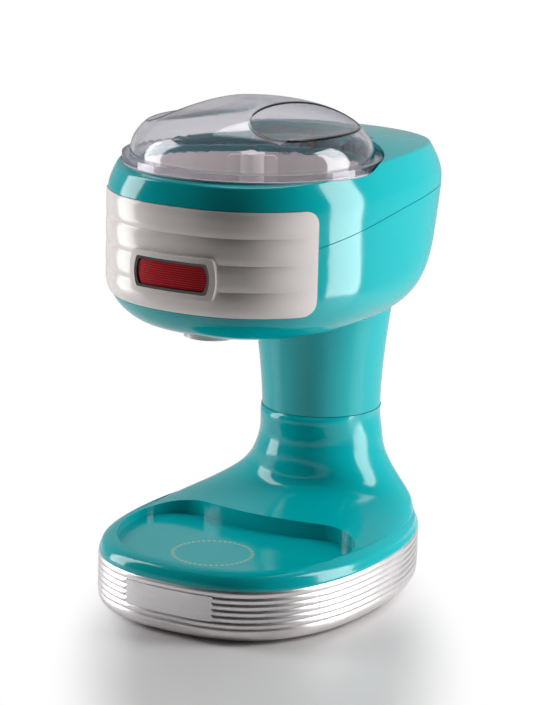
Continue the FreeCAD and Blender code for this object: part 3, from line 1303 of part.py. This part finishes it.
def chute():
    """The white chute that drops shaved ice from the slot to the cup."""
    top = blade_shape(0.0).BoundBox.ZMin - d.chute_gap
    low = d.chute_bottom
    neck = d.head_bottom + 4 * d.head_wall
    half = (neck + top) / 2
    walls = []
    for grow, end in ((d.chute_wall, low), (0.0, low - 1)):
        spout = loft([chute_outline(1.0, grow, end), chute_outline(1.0, grow, neck)])
        funnel = loft([chute_outline(1.0, grow, neck), chute_outline(0.5, grow, half),
                       chute_outline(0.0, grow, top)])
        walls.append(spout.fuse(funnel))
    return walls[0].cut(walls[1])


base_parts()
column_parts()
head_parts()
chamber_parts()
switch_parts()
rotor_parts()
frame_parts()
motor_parts()
node("chute", feature("Chute", chute()))

doc.recompute()
for thing in doc.Objects:
    if "Invalid" in thing.State or "Error" in thing.State:
        raise RuntimeError("%s did not recompute" % thing.Name)
for name, made in nodes.items():
    if made.Shape.isNull() or not made.Shape.isValid():
        raise RuntimeError("%s has no valid shape" % name)

os.makedirs("parts", exist_ok=True)
for name, made in nodes.items():
    made.Shape.exportStep("parts/%s.step" % name)
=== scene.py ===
import json
from math import cos, pi, radians, sin

import bpy
import numpy as np
from mathutils import Matrix, Vector

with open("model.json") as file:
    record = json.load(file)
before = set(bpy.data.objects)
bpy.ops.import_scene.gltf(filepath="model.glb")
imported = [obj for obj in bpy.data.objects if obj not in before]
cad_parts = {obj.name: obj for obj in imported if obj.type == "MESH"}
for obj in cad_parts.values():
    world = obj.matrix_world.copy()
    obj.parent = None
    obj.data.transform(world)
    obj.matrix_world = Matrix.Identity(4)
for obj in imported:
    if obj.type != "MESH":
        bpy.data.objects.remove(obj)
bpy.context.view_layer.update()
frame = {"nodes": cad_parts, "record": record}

# Places and sizes of the machine that its finishes refer to, in metres
TRAY_RING_Y = -0.0715
TRAY_RING_RADIUS = 0.0262
TRAY_RING_HALF_WIDTH = 0.0013
TRAY_RING_DASHES = 46.0
TRAY_FLOOR_Z = 0.0410
TRAY_FLOOR_SLACK = 0.0006
BADGE_Z = 0.2365
BADGE_RIB_PITCH = 0.00145
BAND_MOULD_LINE_X = 0.048
BAND_MOULD_LINE_HALF_WIDTH = 0.0004

# The grey part of the floor lies towards the viewer: its turn, the middle of its length, and where it ends
FLOOR_TURN = radians(-30.0)
FLOOR_MIDDLE = 0.14
FLOOR_STRETCH = 0.42
FLOOR_GREY = 0.075
FLOOR_WHITE = 0.135
FLOOR_RADIUS = 6.0
# The way from the machine to the backdrop
BACKDROP_WAY = (-0.5, 0.86, 0.0)
# How white the backdrop and the far floor are where the machine mirrors them
MIRRORED_WHITE = 0.3


# Node helpers

def put(tree, kind, inputs=None, **settings):
    """Adds a node, sets its properties, and fills or links its inputs."""
    made = tree.nodes.new(kind)
    for key, value in settings.items():
        setattr(made, key, value)
    for key, value in (inputs or {}).items():
        if isinstance(value, bpy.types.NodeSocket):
            tree.links.new(value, made.inputs[key])
        else:
            made.inputs[key].default_value = value
    return made


def calc(tree, operation, a, b=0.0, clamp=False):
    """One Math node's result."""
    return put(tree, "ShaderNodeMath", {0: a, 1: b}, operation=operation, use_clamp=clamp).outputs[0]


def spread(tree, value, low, high, to_low=0.0, to_high=1.0):
    """Maps a value from one range to another, smoothly and clamped."""
    ends = {"Value": value, "From Min": low, "From Max": high, "To Min": to_low, "To Max": to_high}
    return put(tree, "ShaderNodeMapRange", ends, interpolation_type="SMOOTHSTEP").outputs["Result"]


def blend_colour(tree, share, first, second):
    made = put(tree, "ShaderNodeMix", {0: share, 6: first, 7: second}, data_type="RGBA")
    return made.outputs[2]


def object_point(tree):
    return put(tree, "ShaderNodeTexCoord").outputs["Object"]


def new_group(name, inputs, outputs):
    """An empty shader node group with float inputs {name: default} and named float outputs."""
    tree = bpy.data.node_groups.new(name, "ShaderNodeTree")
    for title, value in inputs.items():
        socket = tree.interface.new_socket(name=title, in_out="INPUT", socket_type="NodeSocketFloat")
        socket.default_value = value
    for title in outputs:
        tree.interface.new_socket(name=title, in_out="OUTPUT", socket_type="NodeSocketFloat")
    start = tree.nodes.new("NodeGroupInput")
    end = tree.nodes.new("NodeGroupOutput")
    return tree, start, end


def use_group(tree, group, **inputs):
    made = tree.nodes.new("ShaderNodeGroup")
    made.node_tree = group
    for title, value in inputs.items():
        made.inputs[title].default_value = value
    return made


# Effects shared by the finishes

def moulded_skin_group():
    """Moulded plastic: a fine grain height, slow waviness, and soft smudges from handling."""
    tree, start, end = new_group("moulded_skin", {"Grain": 900.0, "Smudge": 18.0}, ("Height", "Smudge"))
    point = object_point(tree)
    grain = put(tree, "ShaderNodeTexNoise", {"Vector": point, "Scale": start.outputs["Grain"], "Detail": 3.0})
    wave = put(tree, "ShaderNodeTexNoise", {"Vector": point, "Scale": 35.0, "Detail": 1.0})
    height = calc(tree, "ADD", calc(tree, "MULTIPLY", grain.outputs[0], 0.25), wave.outputs[0])
    cloudy = {"Vector": point, "Scale": start.outputs["Smudge"], "Detail": 5.0, "Roughness": 0.6}
    smudge = put(tree, "ShaderNodeTexNoise", cloudy)
    tree.links.new(height, end.inputs["Height"])
    tree.links.new(spread(tree, smudge.outputs[0], 0.42, 0.72), end.inputs["Smudge"])
    return tree


def brushed_group():
    """Drawn metal: long thin streaks along X from noise squeezed across."""
    tree, start, end = new_group("brushed_metal", {"Fineness": 1.0}, ("Streak",))
    squeeze = put(tree, "ShaderNodeMapping", {"Vector": object_point(tree), "Scale": (12.0, 900.0, 900.0)})
    noise = put(tree, "ShaderNodeTexNoise", {"Vector": squeeze.outputs[0], "Scale": start.outputs["Fineness"],
                                             "Detail": 4.0})
    tree.links.new(noise.outputs[0], end.inputs["Streak"])
    return tree


MOULDED = moulded_skin_group()
BRUSHED = brushed_group()


def new_material(name, **constants):
    """A material with one Principled shader; constants are set on its own sockets."""
    made = bpy.data.materials.new(name)
    made.use_nodes = True
    tree = made.node_tree
    tree.nodes.clear()
    shader = put(tree, "ShaderNodeBsdfPrincipled")
    output = put(tree, "ShaderNodeOutputMaterial", {"Surface": shader.outputs[0]})
    for title, value in constants.items():
        shader.inputs[title.replace("_", " ")].default_value = value
    return made, tree, shader, output


def moulded(name, colour, shade, smooth, rough, bump=0.0004, smudge=18.0, grain=900.0, **constants):
    """Moulded plastic: colour drifts a little to a shade, and smudges dull its gloss."""
    made, tree, shader, _ = new_material(name, **constants)
    skin = use_group(tree, MOULDED, Grain=grain, Smudge=smudge)
    tint = blend_colour(tree, calc(tree, "MULTIPLY", skin.outputs["Smudge"], 0.35), colour, shade)
    tree.links.new(tint, shader.inputs["Base Color"])
    tree.links.new(spread(tree, skin.outputs["Smudge"], 0.0, 1.0, smooth, rough), shader.inputs["Roughness"])
    height = skin.outputs["Height"]
    relief = put(tree, "ShaderNodeBump", {"Height": height, "Distance": bump, "Strength": 0.35})
    tree.links.new(relief.outputs[0], shader.inputs["Normal"])
    return made, tree, shader, tint


TEAL = (0.0, 0.43, 0.46, 1.0)
TEAL_SHADE = (0.0, 0.40, 0.43, 1.0)
PRINT_GOLD = (0.62, 0.60, 0.38, 1.0)
PRINT_STRENGTH = 0.55
# A dash is printed where a sine round the ring is above this, so dashes are longer than their gaps
DASH_THRESHOLD = -0.35


def teal_gloss():
    return moulded("teal_gloss", TEAL, TEAL_SHADE, 0.10, 0.17, bump=0.00015)[0]


def teal_tray():
    """The base cover's teal, with a ring of pale dashes printed on the tray floor."""
    made, tree, shader, tint = moulded("teal_tray", TEAL, TEAL_SHADE, 0.12, 0.20, bump=0.00015)
    place = put(tree, "ShaderNodeSeparateXYZ", {0: object_point(tree)}).outputs
    across = place[0]
    along = calc(tree, "SUBTRACT", place[1], TRAY_RING_Y)
    squares = calc(tree, "ADD", calc(tree, "POWER", across, 2.0), calc(tree, "POWER", along, 2.0))
    reach = calc(tree, "SQRT", squares)
    turn = calc(tree, "ARCTAN2", along, across)
    off = calc(tree, "ABSOLUTE", calc(tree, "SUBTRACT", reach, TRAY_RING_RADIUS))
    line = calc(tree, "LESS_THAN", off, TRAY_RING_HALF_WIDTH)
    beat = calc(tree, "SINE", calc(tree, "MULTIPLY", turn, TRAY_RING_DASHES))
    dash = calc(tree, "GREATER_THAN", beat, DASH_THRESHOLD)
    rise = calc(tree, "ABSOLUTE", calc(tree, "SUBTRACT", place[2], TRAY_FLOOR_Z))
    flat = calc(tree, "LESS_THAN", rise, TRAY_FLOOR_SLACK)
    mask = calc(tree, "MULTIPLY", calc(tree, "MULTIPLY", line, dash), flat)
    printed = blend_colour(tree, calc(tree, "MULTIPLY", mask, PRINT_STRENGTH), tint, PRINT_GOLD)
    tree.links.new(printed, shader.inputs["Base Color"])
    return made


def cream_gloss():
    return moulded("cream_gloss", (0.88, 0.83, 0.805, 1), (0.83, 0.78, 0.755, 1), 0.16, 0.24, bump=0.0002)[0]


def silver_satin():
    """Metallised plastic: a satin silver that varies a little, with one mould line at the front right."""
    made, tree, shader, _ = new_material("silver_satin", Metallic=1.0)
    skin = use_group(tree, MOULDED, Grain=1400.0, Smudge=25.0)
    tint = blend_colour(tree, skin.outputs["Smudge"], (0.84, 0.81, 0.815, 1), (0.77, 0.745, 0.75, 1))
    tree.links.new(tint, shader.inputs["Base Color"])
    tree.links.new(spread(tree, skin.outputs["Smudge"], 0.0, 1.0, 0.34, 0.42), shader.inputs["Roughness"])
    place = put(tree, "ShaderNodeSeparateXYZ", {0: object_point(tree)}).outputs
    beside = calc(tree, "ABSOLUTE", calc(tree, "SUBTRACT", place[0], BAND_MOULD_LINE_X))
    seam = spread(tree, beside, 0.0, BAND_MOULD_LINE_HALF_WIDTH, -1.0, 0.0)
    height = calc(tree, "ADD", skin.outputs["Height"], seam)
    relief = put(tree, "ShaderNodeBump", {"Height": height, "Distance": 0.00004, "Strength": 0.3})
    tree.links.new(relief.outputs[0], shader.inputs["Normal"])
    return made


def red_lens():
    """Red with fine level ribs, with painted shade darkening the grooves."""
    made, tree, shader, _ = new_material("red_lens", Roughness=0.30, Specular_IOR_Level=0.25)
    height = put(tree, "ShaderNodeSeparateXYZ", {0: object_point(tree)}).outputs[2]
    phase = calc(tree, "MULTIPLY", calc(tree, "SUBTRACT", height, BADGE_Z), 2 * pi / BADGE_RIB_PITCH)
    rib = calc(tree, "ADD", calc(tree, "MULTIPLY", calc(tree, "COSINE", phase), 0.5), 0.5)
    # Painted shade: the colour goes from bright red on each rib's crest to dark red in its groove, standing
    # in for the shade in the grooves
    tint = blend_colour(tree, rib, (0.20, 0.001, 0.004, 1), (0.78, 0.006, 0.018, 1))
    tree.links.new(tint, shader.inputs["Base Color"])
    relief = put(tree, "ShaderNodeBump", {"Height": rib, "Distance": 0.0003, "Strength": 0.5})
    tree.links.new(relief.outputs[0], shader.inputs["Normal"])
    return made


def drawn_metal(name, colour, shade, smooth, rough):
    """Metal with long streaks in its colour and gloss."""
    made, tree, shader, _ = new_material(name, Metallic=1.0)
    streak = use_group(tree, BRUSHED, Fineness=1.0).outputs["Streak"]
    tree.links.new(blend_colour(tree, streak, colour, shade), shader.inputs["Base Color"])
    tree.links.new(spread(tree, streak, 0.25, 0.75, smooth, rough), shader.inputs["Roughness"])
    relief = put(tree, "ShaderNodeBump", {"Height": streak, "Distance": 0.00008, "Strength": 0.4})
    tree.links.new(relief.outputs[0], shader.inputs["Normal"])
    return made


def clear_plastic():
    """Polished clear plastic, bluish where it is deep.

    A shadow ray passes straight through it, so that the lamps light what is under the lid.
    """
    made, tree, shader, output = new_material("clear_plastic", Transmission_Weight=1.0, IOR=1.49)
    shader.inputs["Base Color"].default_value = (0.86, 0.855, 0.86, 1)
    skin = use_group(tree, MOULDED, Grain=300.0, Smudge=22.0)
    tree.links.new(spread(tree, skin.outputs["Smudge"], 0.0, 1.0, 0.015, 0.05), shader.inputs["Roughness"])
    shadow = put(tree, "ShaderNodeLightPath").outputs["Is Shadow Ray"]
    through = put(tree, "ShaderNodeBsdfTransparent", {"Color": (0.66, 0.65, 0.68, 1)})
    both = put(tree, "ShaderNodeMixShader", {0: shadow, 1: shader.outputs[0], 2: through.outputs[0]})
    tree.links.new(both.outputs[0], output.inputs["Surface"])
    depth = put(tree, "ShaderNodeVolumeAbsorption", {"Color": (0.50, 0.50, 0.62, 1), "Density": 80.0})
    tree.links.new(depth.outputs[0], output.inputs["Volume"])
    return made


FINISHES = {
    "teal": teal_gloss(),
    "cream": cream_gloss(),
    "silver": silver_satin(),
    "pan_grey": moulded("pan_grey", (0.10, 0.10, 0.105, 1), (0.08, 0.08, 0.085, 1), 0.5, 0.62,
                        bump=0.0006)[0],
    "white": moulded("chamber_white", (0.74, 0.685, 0.66, 1), (0.68, 0.625, 0.60, 1), 0.25, 0.38)[0],
    "clear": clear_plastic(),
    "silicone": moulded("silicone", (0.55, 0.56, 0.57, 1), (0.48, 0.49, 0.50, 1), 0.4, 0.5)[0],
    "red_lens": red_lens(),
    "dark_chrome": drawn_metal("dark_chrome", (0.17, 0.16, 0.165, 1), (0.12, 0.115, 0.12, 1), 0.08, 0.16),
    "steel": drawn_metal("brushed_steel", (0.62, 0.62, 0.63, 1), (0.48, 0.48, 0.49, 1), 0.2, 0.38),
    "zinc": drawn_metal("zinc_plate", (0.60, 0.60, 0.57, 1), (0.50, 0.49, 0.45, 1), 0.25, 0.42),
    "bronze": drawn_metal("bronze", (0.55, 0.36, 0.17, 1), (0.44, 0.28, 0.13, 1), 0.3, 0.45),
    "rubber": moulded("foot_rubber", (0.025, 0.025, 0.026, 1), (0.035, 0.034, 0.033, 1), 0.6, 0.75,
                      bump=0.0006)[0],
    "black": moulded("black_plastic", (0.02, 0.02, 0.021, 1), (0.03, 0.03, 0.03, 1), 0.4, 0.55,
                     bump=0.0005)[0],
    "button_red": moulded("button_red", (0.40, 0.02, 0.015, 1), (0.32, 0.015, 0.012, 1), 0.35, 0.5)[0],
    "nylon": moulded("nylon", (0.72, 0.70, 0.63, 1), (0.66, 0.63, 0.55, 1), 0.4, 0.5)[0],
    "motor_grey": drawn_metal("motor_can", (0.35, 0.36, 0.37, 1), (0.28, 0.28, 0.29, 1), 0.3, 0.45),
}
# Nodes whose finish differs from the rest of their slot
OWN_FINISH = {
    "base_cover": teal_tray(),
    "base_nameplate": drawn_metal("plate_metal", (0.80, 0.775, 0.78, 1), (0.72, 0.70, 0.705, 1), 0.36, 0.48),
}


def dress():
    """Gives each CAD node the finish of its slot."""
    for row in frame["record"]["subparts"]:
        piece = frame["nodes"][row["node"]]
        piece.data.materials.clear()
        piece.data.materials.append(OWN_FINISH.get(row["node"], FINISHES[row["material_slot"]]))


# Studio

def floor_material():
    """Pale polished floor near the machine; further out, what the camera sees fades to white."""
    made, tree, shader, output = new_material("pale_floor", Roughness=0.42)
    point = object_point(tree)
    drift = put(tree, "ShaderNodeTexNoise", {"Vector": point, "Scale": 3.0}).outputs[0]
    tint = blend_colour(tree, drift, (0.76, 0.735, 0.735, 1), (0.73, 0.705, 0.705, 1))
    tree.links.new(tint, shader.inputs["Base Color"])
    turn = {"Vector": point, "Angle": FLOOR_TURN}
    turned = put(tree, "ShaderNodeVectorRotate", turn, rotation_type="Z_AXIS").outputs[0]
    place = put(tree, "ShaderNodeSeparateXYZ", {0: turned}).outputs
    across = calc(tree, "POWER", place[0], 2.0)
    ahead = calc(tree, "MULTIPLY", calc(tree, "ADD", place[1], FLOOR_MIDDLE), FLOOR_STRETCH)
    reach = calc(tree, "SQRT", calc(tree, "ADD", across, calc(tree, "POWER", ahead, 2.0)))
    rays = put(tree, "ShaderNodeLightPath").outputs
    seen = calc(tree, "MAXIMUM", rays["Is Camera Ray"], rays["Is Transmission Ray"])
    seen = calc(tree, "MAXIMUM", seen, calc(tree, "MULTIPLY", rays["Is Glossy Ray"], MIRRORED_WHITE))
    share = calc(tree, "MULTIPLY", spread(tree, reach, FLOOR_GREY, FLOOR_WHITE), seen)
    white = put(tree, "ShaderNodeEmission", {"Color": (1, 1, 1, 1), "Strength": 1.0})
    both = put(tree, "ShaderNodeMixShader", {0: share, 1: shader.outputs[0], 2: white.outputs[0]})
    tree.links.new(both.outputs[0], output.inputs["Surface"])
    return made


def pale_floor():
    """A flat disc under the machine: rings of growing radius about the origin, at height zero."""
    radii = np.linspace(0.0, 1.0, 12)[1:] ** 1.5 * FLOOR_RADIUS
    turns = np.linspace(0, 2 * pi, 96, endpoint=False)
    ring_x = radii[:, None] * np.cos(turns)[None]
    ring_y = radii[:, None] * np.sin(turns)[None]
    points = np.stack([ring_x, ring_y, np.zeros_like(ring_x)], -1).reshape(-1, 3)
    points = np.concatenate([points, [[0, 0, 0]]])
    count = len(turns)
    i = np.arange(count)
    j = (i + 1) % count
    quads = [np.stack([k * count + i, (k + 1) * count + i, (k + 1) * count + j, k * count + j], -1)
             for k in range(len(radii) - 1)]
    fan = np.stack([np.full(count, len(points) - 1), i, j], -1)
    faces = [list(f) for f in np.concatenate(quads)] + [list(f) for f in fan]
    mesh = bpy.data.meshes.new("pale_floor")
    mesh.from_pydata(points.tolist(), [], faces)
    mesh.materials.append(floor_material())
    made = bpy.data.objects.new("pale_floor", mesh)
    bpy.context.scene.collection.objects.link(made)


def studio_world():
    """A white backdrop behind the machine, mirrored as white, and a dim room in front of it.

    The camera, and what it sees through the lid, meet white all round.
    """
    world = bpy.data.worlds.new("studio")
    bpy.context.scene.world = world
    world.use_nodes = True
    tree = world.node_tree
    tree.nodes.clear()
    way = put(tree, "ShaderNodeTexCoord").outputs["Generated"]
    behind = put(tree, "ShaderNodeVectorMath", {0: way, 1: BACKDROP_WAY}, operation="DOT_PRODUCT")
    level = spread(tree, behind.outputs["Value"], -0.2, 0.9, 0.03, 0.40)
    rays = put(tree, "ShaderNodeLightPath").outputs
    seen = calc(tree, "MAXIMUM", rays["Is Camera Ray"], rays["Is Transmission Ray"])
    backdrop = spread(tree, behind.outputs["Value"], 0.5, 1.0, 0.0, MIRRORED_WHITE)
    mirrored = calc(tree, "MULTIPLY", rays["Is Glossy Ray"], backdrop)
    strength = calc(tree, "MAXIMUM", level, calc(tree, "MAXIMUM", seen, mirrored))
    light = put(tree, "ShaderNodeBackground", {"Color": (1, 1, 1, 1), "Strength": strength})
    put(tree, "ShaderNodeOutputWorld", {"Surface": light.outputs[0]})


def softbox(name, turn, distance, height, width, tall, power):
    """A rectangular lamp standing round the machine at an angle from the front, facing its middle."""
    lamp = bpy.data.lights.new(name, "AREA")
    lamp.shape = "RECTANGLE"
    lamp.size = width
    lamp.size_y = tall
    lamp.energy = power
    made = bpy.data.objects.new(name, lamp)
    bpy.context.scene.collection.objects.link(made)
    place = Vector((distance * sin(radians(turn)), -distance * cos(radians(turn)), height))
    made.location = place
    made.rotation_euler = (place - Vector((0, 0, height))).to_track_quat("Z", "Y").to_euler()
    made.visible_camera = False


def top_light(name, place, width, power):
    """A square lamp above and behind the machine, facing straight down."""
    lamp = bpy.data.lights.new(name, "AREA")
    lamp.shape = "SQUARE"
    lamp.size = width
    lamp.energy = power
    made = bpy.data.objects.new(name, lamp)
    bpy.context.scene.collection.objects.link(made)
    made.location = place
    made.visible_camera = False


def photo_camera():
    """The camera that took the photograph, from a fit of the machine's outlines to it."""
    turn = radians(30.45)
    lift = radians(13.67)
    roll = radians(1.40)
    back = Vector((sin(turn) * cos(lift), -cos(turn) * cos(lift), sin(lift)))
    right = Vector((cos(turn), sin(turn), 0))
    up = back.cross(right)
    rolled_right = cos(roll) * right + sin(roll) * up
    rolled_up = -sin(roll) * right + cos(roll) * up
    focal_pixels = 2771.72
    frame_pixels = 705
    lens = bpy.data.cameras.new("photo_camera")
    lens.sensor_width = 36.0
    lens.lens = focal_pixels / frame_pixels * lens.sensor_width
    made = bpy.data.objects.new("photo_camera", lens)
    bpy.context.scene.collection.objects.link(made)
    aim = Vector((0, -0.00828, 0.16355))
    distance = 1.83768
    place = aim + back * distance
    axes = Matrix((rolled_right, rolled_up, back)).transposed().to_4x4()
    made.matrix_world = Matrix.Translation(place) @ axes
    bpy.context.scene.camera = made


dress()
pale_floor()
studio_world()
softbox("softbox_right", 112, 0.62, 0.40, 0.30, 0.9, 6.3)
softbox("softbox_left", -68, 0.62, 0.40, 0.26, 0.9, 4.2)
top_light("top_light", (-0.05, 0.30, 1.1), 0.6, 3.0)
photo_camera()
bpy.context.scene.view_settings.view_transform = "Standard"
